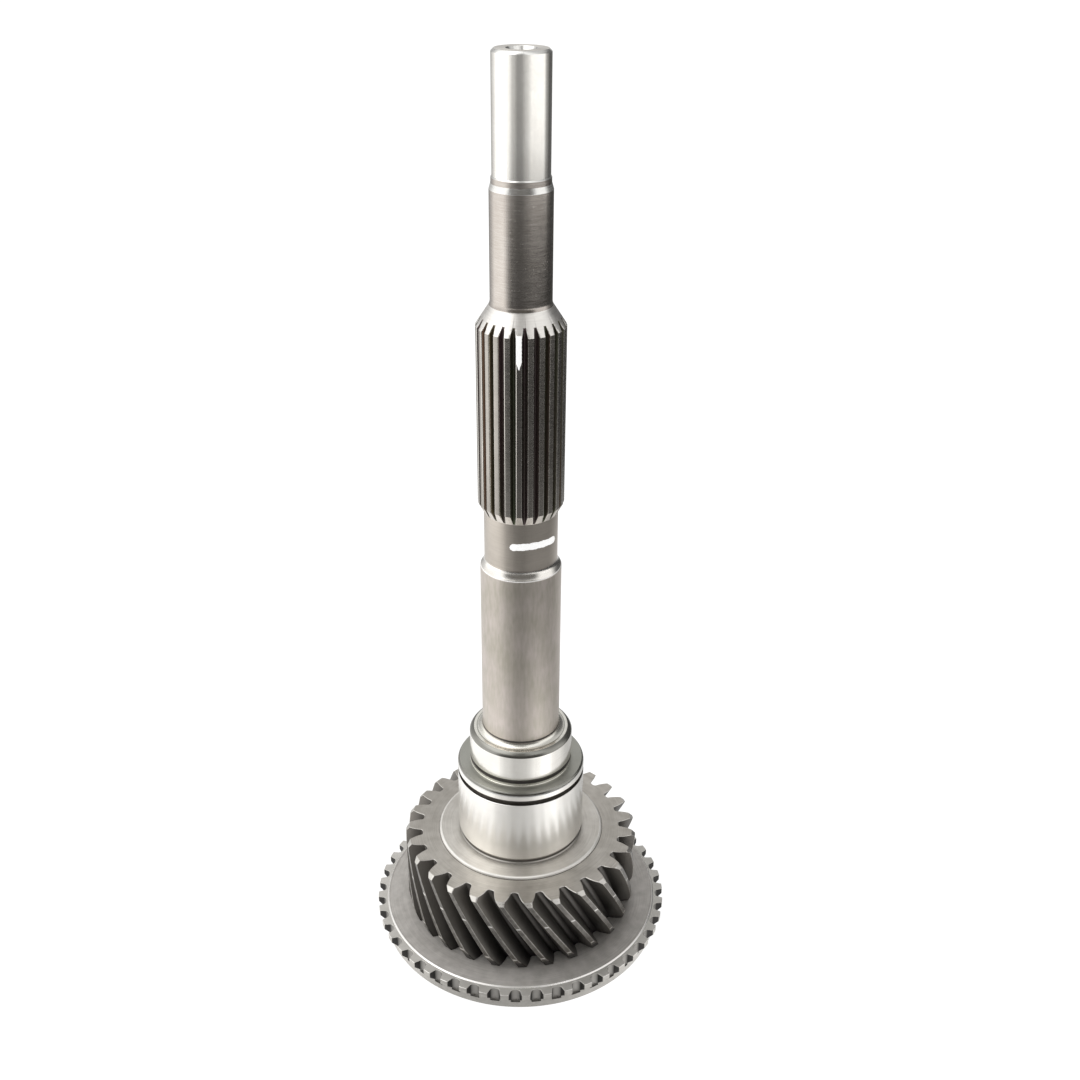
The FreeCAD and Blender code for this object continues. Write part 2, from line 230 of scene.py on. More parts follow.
def inset(loop, distance):
    """A loop moved inwards in its own plane."""
    moved = []
    count = len(loop)
    for i, (x, y, z) in enumerate(loop):
        before = loop[i - 1]
        after = loop[(i + 1) % count]
        first = Vector((x - before[0], y - before[1])).normalized()
        second = Vector((after[0] - x, after[1] - y)).normalized()
        along = (first + second).normalized()
        # a sharp corner moves no further than twice the distance
        mitre = min(1.0 / max(along.dot(first), 0.4), 2.0)
        moved.append((x - along.y * distance * mitre, y + along.x * distance * mitre, z))
    return moved


class Teeth:
    """Cross-sections of a toothed rim. A gap is drawn about its middle: half of its floor, one flank
    and the broken corner at the tip; the other half mirrors it."""

    def __init__(self, count, turn, floor, flank, floor_steps, flank_steps, land_steps, corner,
                 lead=None):
        self.count = count
        self.turn = turn
        self.floor = floor
        self.flank = flank
        self.floor_steps = floor_steps
        self.flank_steps = flank_steps
        self.land_steps = land_steps
        self.corner = corner
        self.lead = lead

    def half_gap(self, tip):
        """(radius, half width) from the middle of the floor out to the corner of the land."""
        floor_edge, floor_half = self.floor(1.0)
        start = min(floor_edge, tip)
        points = []
        for k in range(self.floor_steps + 1):
            radius, half = self.floor(k / self.floor_steps)
            points.append((min(radius, tip), half))
        corner = min(self.corner, max(tip - start, 0.0) * 0.3)
        top = tip - corner
        for k in range(1, self.flank_steps + 1):
            radius = start + (top - start) * k / self.flank_steps
            points.append((radius, self.flank(radius) if corner > 0 else floor_half))
        half = points[-1][1]
        points.append((tip - 0.3 * corner, half + 0.35 * corner + 1e-4))
        points.append((tip, half + corner + 2e-4))
        return points

    def section(self, tip, height):
        half = self.half_gap(tip)
        outline = [(r, -w) for r, w in reversed(half[1:])] + half
        middle_turn = math.radians(self.turn_at(height))
        pitch = math.tau / self.count
        angles = []
        for radius, width in outline:
            angle = math.asin(max(-1.0, min(1.0, width / radius)))
            angles.append((radius, angle))
        last = angles[-1][1]
        first_next = angles[0][1] + pitch
        for k in range(1, self.land_steps):
            angles.append((tip, last + (first_next - last) * k / self.land_steps))
        loop = []
        for tooth in range(self.count):
            base = middle_turn + tooth * pitch
            for radius, angle in angles:
                loop.append((radius * math.cos(base + angle), radius * math.sin(base + angle), height))
        return loop

    def columns(self, flank, corner, land):
        """Zones of the faces that stand on a section, one for each of its points in one pitch."""
        points = 2 * (self.floor_steps + self.flank_steps + 3) - 1
        between = [flank] * (points - 1)
        for k in (0, 1, points - 3, points - 2):
            between[k] = corner
        return between + [land] * self.land_steps

    def turn_at(self, height):
        if self.lead is None:
            return self.turn
        return self.turn + 360.0 * (GEAR_TOP - height) / self.lead

    def circle(self, radius, height, like=None):
        """A plain circle whose points lie at the angles of a toothed section."""
        source = like or self.section(self.floor(0.0)[0], height)
        loop = []
        for x, y, _ in source:
            angle = math.atan2(y, x)
            loop.append((radius * math.cos(angle), radius * math.sin(angle), height))
        return loop


def edge_round(radius, top, drop, start, end):
    """Rounded edge of a turned collar, as an arc between two angles that drops this far below the top."""
    start_angle = math.radians(start)
    curve = drop / (math.sin(math.radians(end)) - math.sin(start_angle))
    return arc(radius - curve * math.cos(start_angle), top - drop - curve * math.sin(start_angle),
               curve, start, end, 6)


def arc(centre_r, centre_z, radius, start, end, steps):
    """Points (r, z) of an arc, angles in degrees from the outward direction."""
    out = []
    for k in range(steps + 1):
        angle = math.radians(start + (end - start) * k / steps)
        out.append((centre_r + radius * math.cos(angle), centre_z + radius * math.sin(angle)))
    return out


# Materials
def empty_tree(owner):
    owner.use_nodes = True
    owner.node_tree.nodes.clear()
    return owner.node_tree


def new_material(name):
    material = bpy.data.materials.new(name)
    tree = empty_tree(material)
    output = tree.nodes.new("ShaderNodeOutputMaterial")
    shader = tree.nodes.new("ShaderNodeBsdfPrincipled")
    tree.links.new(shader.outputs["BSDF"], output.inputs["Surface"])
    return material, tree, shader


def math_node(tree, operation, first, second=None, third=None, clamp=False):
    node = tree.nodes.new("ShaderNodeMath")
    node.operation = operation
    node.use_clamp = clamp
    for socket, value in zip(node.inputs, (first, second, third)):
        if value is None:
            continue
        if isinstance(value, (int, float)):
            socket.default_value = value
        else:
            tree.links.new(value, socket)
    return node.outputs[0]


def ramp(tree, factor, stops, interpolation="LINEAR"):
    node = tree.nodes.new("ShaderNodeValToRGB")
    node.color_ramp.interpolation = interpolation
    elements = node.color_ramp.elements
    while len(elements) < len(stops):
        elements.new(0.5)
    for element, (place, colour) in zip(elements, stops):
        element.position = place
        element.color = (*colour, 1.0)
    tree.links.new(factor, node.inputs["Fac"])
    return node.outputs["Color"]


def grey(value):
    return (value, value, value)


def inverse(tree, value):
    return math_node(tree, "SUBTRACT", 1.0, value)


def from_axis(tree, x, y):
    squares = math_node(tree, "ADD", math_node(tree, "MULTIPLY", x, x), math_node(tree, "MULTIPLY", y, y))
    return math_node(tree, "SQRT", squares)


def map_range(tree, value, low, high, interpolation="LINEAR"):
    """0 at low and 1 at high, with nothing beyond."""
    node = tree.nodes.new("ShaderNodeMapRange")
    node.interpolation_type = interpolation
    node.clamp = True
    node.inputs["From Min"].default_value = low
    node.inputs["From Max"].default_value = high
    tree.links.new(value, node.inputs["Value"])
    return node.outputs["Result"]


def smooth(tree, value, low, high):
    return map_range(tree, value, low, high, "SMOOTHSTEP")


def blend(tree, factor, first, second, mode="MIX"):
    """Mixes two colours, each a socket or a tuple, by a socket or a number."""
    node = tree.nodes.new("ShaderNodeMix")
    node.data_type = "RGBA"
    node.blend_type = mode
    if isinstance(factor, float):
        node.inputs[0].default_value = factor
    else:
        tree.links.new(factor, node.inputs[0])
    for socket, value in ((node.inputs[6], first), (node.inputs[7], second)):
        if isinstance(value, tuple):
            socket.default_value = (*value, 1.0)
        else:
            tree.links.new(value, socket)
    return node.outputs[2]


class Round:
    """Position, radius and height of a point on the surface, in metres."""

    def __init__(self, tree):
        self.tree = tree
        coordinates = tree.nodes.new("ShaderNodeTexCoord")
        split = tree.nodes.new("ShaderNodeSeparateXYZ")
        tree.links.new(coordinates.outputs["Object"], split.inputs[0])
        self.position = coordinates.outputs["Object"]
        self.x, self.y, self.height = split.outputs
        self.radius = from_axis(tree, self.x, self.y)

    def level(self, source, low, high):
        """0 at low and 1 at high, in millimetres."""
        return map_range(self.tree, source, low * MM, high * MM)

    def noise(self, around, across, up, detail, seed=0.0):
        """Noise stretched by its frequency around the axis, along the radius and up the shaft."""
        tree = self.tree
        cosine = math_node(tree, "DIVIDE", self.x, self.radius)
        sine = math_node(tree, "DIVIDE", self.y, self.radius)
        join = tree.nodes.new("ShaderNodeCombineXYZ")
        tree.links.new(math_node(tree, "MULTIPLY", cosine, around), join.inputs[0])
        tree.links.new(math_node(tree, "MULTIPLY", sine, around), join.inputs[1])
        rise = math_node(tree, "MULTIPLY", self.height, up / MM)
        out = math_node(tree, "MULTIPLY", self.radius, across / MM)
        tree.links.new(math_node(tree, "ADD", math_node(tree, "ADD", rise, out), seed), join.inputs[2])
        texture = tree.nodes.new("ShaderNodeTexNoise")
        texture.inputs["Scale"].default_value = 1.0
        texture.inputs["Detail"].default_value = detail
        tree.links.new(join.outputs[0], texture.inputs["Vector"])
        return texture.outputs["Fac"]

    def grain(self, size, detail=2.0):
        """Even noise whose grains are about this many millimetres across."""
        texture = self.tree.nodes.new("ShaderNodeTexNoise")
        texture.inputs["Scale"].default_value = 1.0 / (size * MM)
        texture.inputs["Detail"].default_value = detail
        self.tree.links.new(self.position, texture.inputs["Vector"])
        return texture.outputs["Fac"]


def bump(tree, shader, height, distance):
    node = tree.nodes.new("ShaderNodeBump")
    node.inputs["Distance"].default_value = distance * MM
    node.inputs["Strength"].default_value = 1.0
    tree.links.new(height, node.inputs["Height"])
    tree.links.new(node.outputs["Normal"], shader.inputs["Normal"])


def steel(name, dark, light, rough, metallic=1.0, around=2.0, across=0.0, up=3.0, grain=0.4,
          bump_height=0.002, mottle=6.0, uneven=0.25):
    """Steel whose colour drifts between two tones, with tool lines round the axis and a fine grain.
    Around, across and up are how often the lines change; grain and mottle are sizes in millimetres."""
    material, tree, shader = new_material(name)
    place = Round(tree)
    drift = place.grain(mottle, 3.0)
    lines = place.noise(around, across, up, 3.0)
    fine = place.grain(grain)
    tone = math_node(tree, "MULTIPLY_ADD", drift, 0.5, math_node(tree, "MULTIPLY", lines, 0.5))
    tree.links.new(ramp(tree, tone, ((0.35, dark), (0.65, light))), shader.inputs["Base Color"])
    shader.inputs["Metallic"].default_value = metallic
    mix = math_node(tree, "MULTIPLY_ADD", fine, 0.5, math_node(tree, "MULTIPLY", lines, 0.5))
    swing = math_node(tree, "MULTIPLY", math_node(tree, "SUBTRACT", mix, 0.5), uneven)
    tree.links.new(math_node(tree, "ADD", swing, rough), shader.inputs["Roughness"])
    relief = math_node(tree, "MULTIPLY_ADD", fine, 0.6, lines)
    bump(tree, shader, relief, bump_height)
    return material


def stretch(material, amount):
    """Draws the reflections out along the shaft, as grinding marks round it do."""
    tree = material.node_tree
    shader = next(node for node in tree.nodes if node.type == "BSDF_PRINCIPLED")
    tangent = tree.nodes.new("ShaderNodeTangent")
    tangent.direction_type = "RADIAL"
    tangent.axis = "Z"
    tree.links.new(tangent.outputs["Tangent"], shader.inputs["Tangent"])
    shader.inputs["Anisotropic"].default_value = amount
    shader.inputs["Anisotropic Rotation"].default_value = 0.25
    return material


def gap_steel(name, floor_radius, tip_radius, floor_colour, rim_colour, rough, metallic, tints=None,
              shade_heights=None):
    """Tooth flanks with painted shade in the gaps: the colour runs from the floor colour to the rim
    colour along the radius, and goes towards the floor colour at the lower of two heights if they
    are given. Tints are stains that change round the axis."""
    material, tree, shader = new_material(name)
    place = Round(tree)
    # painted shade in the gaps, by radius, and by height where heights are given
    rise = place.level(place.radius, floor_radius, tip_radius)
    if shade_heights:
        painted_shade_height = place.level(place.height, *shade_heights)
        rise = math_node(tree, "MULTIPLY_ADD", painted_shade_height, 0.5, math_node(tree, "MULTIPLY", rise, 0.5))
    cloud = math_node(tree, "SUBTRACT", place.grain(2.5, 4.0), 0.5)
    painted_shade_depth = math_node(tree, "MULTIPLY_ADD", cloud, 0.2, rise)
    colour = ramp(tree, painted_shade_depth, ((0.0, floor_colour), (1.0, rim_colour)))
    if tints:
        stain = place.noise(5.0, 0.0, 0.008, 1.0, seed=2.4)
        colour = blend(tree, 1.0, colour, ramp(tree, stain, tints), "MULTIPLY")
    tree.links.new(colour, shader.inputs["Base Color"])
    shader.inputs["Metallic"].default_value = metallic
    shader.inputs["Roughness"].default_value = rough
    bump(tree, shader, place.grain(0.35), 0.004)
    return material


def land_steel(name, dark, light, rough, metallic, painted_glint_heights):
    """Tops of the gear teeth, with painted shade on the foot chamfer and small painted glints at the
    given heights.
    """
    # colours of the painted shade on the foot chamfer and of the painted glints
    painted_foot_shade = (0.05, 0.047, 0.043)
    painted_glint_colour = (0.62, 0.6, 0.57)
    material, tree, shader = new_material(name)
    place = Round(tree)
    tone = math_node(tree, "MULTIPLY", place.grain(1.5, 3.0), 0.6)
    # painted shade: darker down the foot chamfer, which faces the dark ring below
    tone = math_node(tree, "MULTIPLY", tone, place.level(place.height, GEAR_FOOT - 1.4, GEAR_FOOT - 0.2))
    # painted glints: small bright spots on the lands at these heights
    for height in painted_glint_heights:
        offset = math_node(tree, "ABSOLUTE", math_node(tree, "SUBTRACT", place.height, height * MM))
        painted_glint = math_node(tree, "SUBTRACT", 1.0, place.level(offset, 0.1, 0.4), clamp=True)
        tone = math_node(tree, "ADD", tone, painted_glint)
    colours = ((0.0, painted_foot_shade), (0.15, dark), (0.5, light), (0.9, painted_glint_colour))
    tree.links.new(ramp(tree, tone, colours), shader.inputs["Base Color"])
    shader.inputs["Metallic"].default_value = metallic
    shader.inputs["Roughness"].default_value = rough
    bump(tree, shader, place.grain(0.35), 0.003)
    return material


def paint(name):
    """A thin coat of white marking paint, a little uneven, with a faint painted glow."""
    material, tree, shader = new_material(name)
    place = Round(tree)
    cloud = place.grain(1.2, 3.0)
    tree.links.new(ramp(tree, cloud, ((0.3, (0.95, 0.95, 0.94)), (0.6, (0.99, 0.99, 0.98)))),
                   shader.inputs["Base Color"])
    shader.inputs["Roughness"].default_value = 0.45
    # painted glow: the paint gives off a little light of its own, which keeps it white
    shader.inputs["Emission Color"].default_value = (1.0, 1.0, 1.0, 1.0)
    shader.inputs["Emission Strength"].default_value = 0.18
    bump(tree, shader, cloud, 0.02)
    return material


# The shaft
def gear_floor(share):
    """Rounded floor of a gear gap, from its middle to where the flank starts."""
    half = 1.25
    rise = 0.7
    angle = share * math.pi / 2
    return GEAR_ROOT + rise * (1 - math.cos(angle)), half * math.sin(angle)


def gear_flank(radius):
    start, start_half = gear_floor(1.0)
    pitch, pitch_half = 36.3, 2.15
    tip_half = 3.8
    share = (radius - start) / (GEAR_TIP - start)
    middle = (pitch - start) / (GEAR_TIP - start)
    straight = start_half + (tip_half - start_half) * middle
    bow = (pitch_half - straight) / (middle * (1 - middle))
    return start_half + (tip_half - start_half) * share + bow * share * (1 - share)


def spline_floor(share):
    """Full round floor of a spline groove."""
    half = 0.44
    rise = 0.42
    angle = share * math.radians(70)
    return SPLINE_ROOT + rise * (1 - math.cos(angle)), half * math.sin(angle)


def spline_flank(radius):
    start, start_half = spline_floor(1.0)
    tip_half = 0.84
    return start_half + (tip_half - start_half) * (radius - start) / (SPLINE_TIP - start)


GEAR = Teeth(count=27, turn=0.9, floor=gear_floor, flank=gear_flank, floor_steps=4, flank_steps=7,
             land_steps=4, corner=0.24, lead=407.0)
SPLINE = Teeth(count=24, turn=5.7, floor=spline_floor, flank=spline_flank, floor_steps=4,
               flank_steps=4, land_steps=4, corner=0.26)


def stack(skin, low, profile, circle, zone):
    """Carries a surface of revolution on from a loop through (radius, height[, zone]) points."""
    for point in profile:
        if len(point) > 2:
            zone = point[2]
        loop = skin.add(circle(point[0], point[1]))
        skin.join(low, loop, zone)
        low = loop
    return low


def low_circle(radius, height):
    """A circle at the angles of the gear's lower end."""
    return GEAR.circle(radius, height, GEAR.section(GEAR_ROOT, RING_TOP))


def top_circle(radius, height):
    """A circle at the angles of the gear's upper end."""
    return GEAR.circle(radius, height, GEAR.section(GEAR_ROOT, GEAR_TOP))


def add_hub(skin):
    """The pocket and the hub, up to the gear's lower face."""
    floor = skin.add(low_circle(POCKET - EDGE, POCKET_FLOOR))
    skin.cap(floor, POCKET_FLOOR, "hub", facing_up=False)
    return stack(skin, floor, [
        (POCKET, POCKET_FLOOR - EDGE, "hub"),
        (POCKET, HUB_END + POCKET_CHAMFER, "ground"),
        (POCKET + POCKET_CHAMFER, HUB_END, "bright"),
        (HUB - HUB_CHAMFER, HUB_END, "hub"),
        (HUB, HUB_END + HUB_CHAMFER, "bright"),
        (HUB, RING_TOP, "hub"),
    ], low_circle, "hub")


def gear_levels():
    """(tip radius, height) of the gear's cross-sections above the first: foot, body and top chamfer."""
    levels = []
    foot_steps = 4
    for k in range(1, foot_steps + 1):
        share = k / foot_steps
        levels.append((GEAR_FOOT_TIP + (GEAR_TIP - GEAR_FOOT_TIP) * share,
                       RING_TOP + EDGE + (GEAR_FOOT - RING_TOP - EDGE) * share))
    chamfer_low = GEAR_TOP - GEAR_TOP_CHAMFER
    body_steps = 20
    for k in range(1, body_steps + 1):
        levels.append((GEAR_TIP, GEAR_FOOT + (chamfer_low - GEAR_FOOT) * k / body_steps))
    chamfer_steps = 3
    rise = GEAR_TOP_CHAMFER - EDGE
    for k in range(1, chamfer_steps + 1):
        share = k / chamfer_steps
        levels.append((GEAR_TIP - rise * share, chamfer_low + rise * share))
    return levels


def add_gear(skin, hub):
    """The gear's teeth, turning with the lead, up to the rim of its upper face."""
    foot = GEAR.section(GEAR_FOOT_TIP, RING_TOP + EDGE)
    inner = skin.add([(x, y, RING_TOP) for x, y, _ in inset(foot, EDGE)])
    skin.join(hub, inner, "turned")
    loop = skin.add(foot)
    skin.join(inner, loop, "gear")
    body_zones = GEAR.columns("gear", "gear_corner", "gear_land")
    chamfer_zones = GEAR.columns("gear", "gear_edge", "gear_edge")
    for tip, height in gear_levels():
        section = GEAR.section(tip, height)
        following = skin.add(section)
        on_body = height < GEAR_TOP - GEAR_TOP_CHAMFER + EDGE
        skin.join(loop, following, body_zones if on_body else chamfer_zones)
        loop = following
    rim = skin.add([(x, y, GEAR_TOP) for x, y, _ in inset(section, EDGE)])
    skin.join(loop, rim, "gear_edge")
    return rim


def add_gear_face(skin, rim):
    """The gear's upper face and the boss on it."""
    boss_edge = arc(BOSS - BOSS_ROUND + BOSS_BREAK, BOSS_TOP - BOSS_ROUND + BOSS_BREAK,
                    BOSS_ROUND - BOSS_BREAK, 0, 90, 6)
    return stack(skin, rim, [
        (GEAR_FACE_INNER, GEAR_TOP, "turned"),
        (BOSS + BOSS_BREAK, GEAR_TOP, "turned"),
        # painted shade: a dark ring where the boss meets the gear's face
        (BOSS, GEAR_TOP + BOSS_BREAK, "dark"),
        *[(*point, "boss_edge") for point in boss_edge],
        (BOSS_MIDDLE, BOSS_TOP, "boss"),
        (BOSS_INNER, BOSS_TOP, "boss"),
    ], top_circle, "turned")


def seat_profile():
    """The bearing seat with its undercut and snap ring groove, and the face above it."""
    root = SEAT - SEAT_UNDERCUT
    groove_top = SEAT_TOP - SNAP_RING_GROOVE_BELOW_TOP
    groove_low = SEAT_TOP - SNAP_RING_GROOVE_BELOW_TOP - SNAP_RING_GROOVE_WIDTH
    groove_root = SEAT - SNAP_RING_GROOVE_DEPTH
    top_edge = edge_round(SEAT, SEAT_TOP, SEAT_CHAMFER, 4, 52)
    return [
        # painted shade: the undercut and the snap ring groove take the dark and groove colours
        (root, BOSS_TOP + SEAT_FOOT_ROUND, "groove"),
        (root, UNDERCUT_MIDDLE, "dark"),
        (root, UNDERCUT_HIGH, "groove"),
        (SEAT - FINE_BREAK, SEAT_LOW, "groove"),
        (SEAT, SEAT_LOW + 0.15, "bright"),
        (SEAT, groove_low - BREAK, "seat"),
        (SEAT - BREAK, groove_low, "bright"),
        (groove_root, groove_low, "groove"),
        (groove_root, groove_top, "dark"),
        (SEAT - BREAK, groove_top, "dark"),
        (SEAT, groove_top + BREAK, "bright"),
        (SEAT, SEAT_TOP - SEAT_CHAMFER - BREAK, "ground"),
        # the upper part of the rounded chamfer takes the painted shade of the chamfers
        *[(*point, "bright" if k < 3 else "chamfer") for k, point in enumerate(top_edge)],
        (SEAT - SEAT_CHAMFER, SEAT_TOP, "seat_face"),
        (SEAT_FACE_INNER, SEAT_TOP, "seat_face"),
    ]


def collar_profile():
    """The seal journal between its undercut and the fillet that leads into the sleeve."""
    root = COLLAR - COLLAR_UNDERCUT
    top_edge = edge_round(COLLAR, COLLAR_TOP, COLLAR_CHAMFER, 22, 62)
    fillet = arc(SLEEVE + COLLAR_FILLET, COLLAR_TOP + COLLAR_FILLET, COLLAR_FILLET, -90, -180, 10)
    # painted shade: a darker ring near the collar's face and dark rings where the fillet meets the sleeve
    fillet_zones = ["lip", "seat_face"] + ["lip"] * 6 + ["sleeve", "dark", "dark"]
    return [
        (COLLAR + FINE_BREAK, SEAT_TOP + 0.02, "seat_face"),
        (COLLAR - FINE_BREAK, SEAT_TOP + 0.12, "lip"),
        (COLLAR - FINE_BREAK, SEAT_TOP + 0.85, "lip"),
        # painted shade: the undercut takes the dark colour
        (root, SEAT_TOP + 1.0, "dark"),
        (root, COLLAR_UNDERCUT_HIGH, "dark"),
        (COLLAR - FINE_BREAK, COLLAR_LOW, "dark"),
        (COLLAR, COLLAR_LOW + 0.15, "bright"),
        (COLLAR, COLLAR_TOP - COLLAR_CHAMFER - BREAK, "ground"),
        # the rounded chamfer takes the painted shade of the chamfers
        *[(*point, "chamfer") for point in top_edge],
        (top_edge[-1][0] - 0.12, COLLAR_TOP + 0.04, "lip"),
        (SLEEVE + COLLAR_FILLET, COLLAR_TOP, "lip"),
        *[(*point, zone) for point, zone in zip(fillet, fillet_zones)][1:],
    ]


def sleeve_profile():
    """The sleeve, the shoulder's fillet and the neck."""
    rise = SHOULDER_FILLET * math.sin(math.radians(SHOULDER_ARC))
    fillet_low = SHOULDER_LOW + 0.35
    fillet = arc(NECK + SHOULDER_FILLET, fillet_low + rise, SHOULDER_FILLET,
                 -180 + SHOULDER_ARC, -180, 10)
    fillet_zones = ["shoulder_edge"] + ["shoulder"] * 8 + ["satin"] * 2
    return [
        (SLEEVE, SHOULDER_LOW - FINE_BREAK, "sleeve"),
        (SLEEVE - FINE_BREAK, SHOULDER_LOW + FINE_BREAK, "sleeve"),
        *[(*point, zone) for point, zone in zip(fillet, fillet_zones)],
        (NECK, NECK_TOP, "satin"),
    ]


def add_spline(skin, loop):
    """The clutch spline. Its grooves run out in the cones at both ends."""
    runout_zones = SPLINE.columns("spline", "runout", "runout")
    tooth_zones = SPLINE.columns("spline", "spline_edge", "spline_land")
    cone_zones = SPLINE.columns("spline", "cone", "cone")
    slope_low = (SPLINE_TIP - NECK) / (SPLINE_LOW - NECK_TOP)
    start_of_grooves = NECK_TOP + (SPLINE_ROOT - NECK) / slope_low
    low_steps = 8
    for k in range(low_steps + 1):
        height = start_of_grooves + (SPLINE_LOW - start_of_grooves) * k / low_steps
        tip = min(NECK + (height - NECK_TOP) * slope_low, SPLINE_TIP)
        following = skin.add(SPLINE.section(tip, height))
        skin.join(loop, following, runout_zones if k > 0 else "runout")
        loop = following
    body_steps = 4
    for k in range(1, body_steps + 1):
        height = SPLINE_LOW + (SPLINE_TOP - SPLINE_LOW) * k / body_steps
        following = skin.add(SPLINE.section(SPLINE_TIP, height))
        skin.join(loop, following, tooth_zones)
        loop = following
    end_of_grooves = SPLINE_TOP + (SPLINE_TIP - SPLINE_ROOT) / CONE_SLOPE
    top_steps = 10
    for k in range(1, top_steps + 1):
        height = SPLINE_TOP + (end_of_grooves - SPLINE_TOP) * k / top_steps
        following = skin.add(SPLINE.section(SPLINE_TIP - (height - SPLINE_TOP) * CONE_SLOPE, height))
        skin.join(loop, following, cone_zones)
        loop = following
    return loop


def pilot_profile():
    """The rest of the cone, the stem, the relief, the pilot journal and the centre hole in its end."""
    lean = math.atan(CONE_SLOPE)
    tangent = CONE_FILLET * math.tan(lean / 2)
    fillet = arc(STEM + CONE_FILLET, CONE_TOP + tangent, CONE_FILLET, -180 + math.degrees(lean), -180, 8)
    return [
        *[(*point, "cone" if k < 3 else "stem") for k, point in enumerate(fillet)],
        (STEM, STEM_TOP - BREAK, "stem"),
        (STEM - FINE_BREAK, STEM_TOP + FINE_BREAK, "bright"),
        (RELIEF + FINE_BREAK, RELIEF_LOW, "bright"),
        (RELIEF, RELIEF_LOW + BREAK, "stem"),
        (RELIEF, RELIEF_TOP - BREAK, "stem"),
        (RELIEF - FINE_BREAK, RELIEF_TOP, "bright"),
        (PILOT, RELIEF_TOP + 0.25, "bright"),
        (PILOT, TOTAL - 0.8, "ground"),
        (PILOT - 0.1, TOTAL - 0.6, "bright"),
        (PILOT - 0.6, TOTAL - 0.1, "bright"),
        (PILOT - 0.75, TOTAL, "bright"),
        (CENTRE_HOLE + CENTRE_HOLE_BREAK, TOTAL, "boss"),
        (CENTRE_HOLE, TOTAL - CENTRE_HOLE_BREAK, "bright"),
        (CENTRE_DRILL, TOTAL - CENTRE_CONE_DEPTH, "bright"),
        # painted shade down in the drilled hole
        (CENTRE_DRILL, TOTAL - CENTRE_DRILL_DEPTH, "dark"),
    ]


SHAFT_ZONES = ["ground", "bright", "satin", "sleeve", "turned", "boss", "gear", "gear_land", "gear_edge",
               "spline", "spline_land", "spline_edge", "cone", "runout", "dark", "hub", "seat_face",
               "lip", "chamfer", "stem", "shoulder", "shoulder_edge", "seat", "gear_corner", "groove",
               "boss_edge"]


def make_shaft(materials):
    skin = Skin(SHAFT_ZONES)
    rim = add_gear(skin, add_hub(skin))
    boss = add_gear_face(skin, rim)
    # everything above the boss uses the angles of the spline
    seat_foot = skin.add(SPLINE.circle(SEAT - SEAT_UNDERCUT + SEAT_FOOT_ROUND, BOSS_TOP))
    skin.zip(boss, seat_foot, "boss")
    journals = seat_profile() + collar_profile() + sleeve_profile()
    neck = stack(skin, seat_foot, journals, SPLINE.circle, "ground")
    cone = add_spline(skin, neck)
    drill = stack(skin, cone, pilot_profile(), SPLINE.circle, "satin")
    # the bottom of the drilled hole takes the painted shade
    skin.cap(drill, TOTAL - CENTRE_POINT_DEPTH, "dark", facing_up=True)
    return skin.build("input_shaft_steel", materials)


def dog_floor(share):
    """Arched floor of a gap between dog teeth."""
    half = 1.55
    rise = 1.0
    angle = share * math.radians(80)
    return DOG_ROOT + rise * (1 - math.cos(angle)), half * math.sin(angle)


def dog_flank(radius):
    start, start_half = dog_floor(1.0)
    tip_half = 2.15
    return start_half + (tip_half - start_half) * (radius - start) / (DOG_TIP - start)


DOGS = Teeth(count=45, turn=5.0, floor=dog_floor, flank=dog_flank, floor_steps=6, flank_steps=3,
             land_steps=4, corner=0.12)


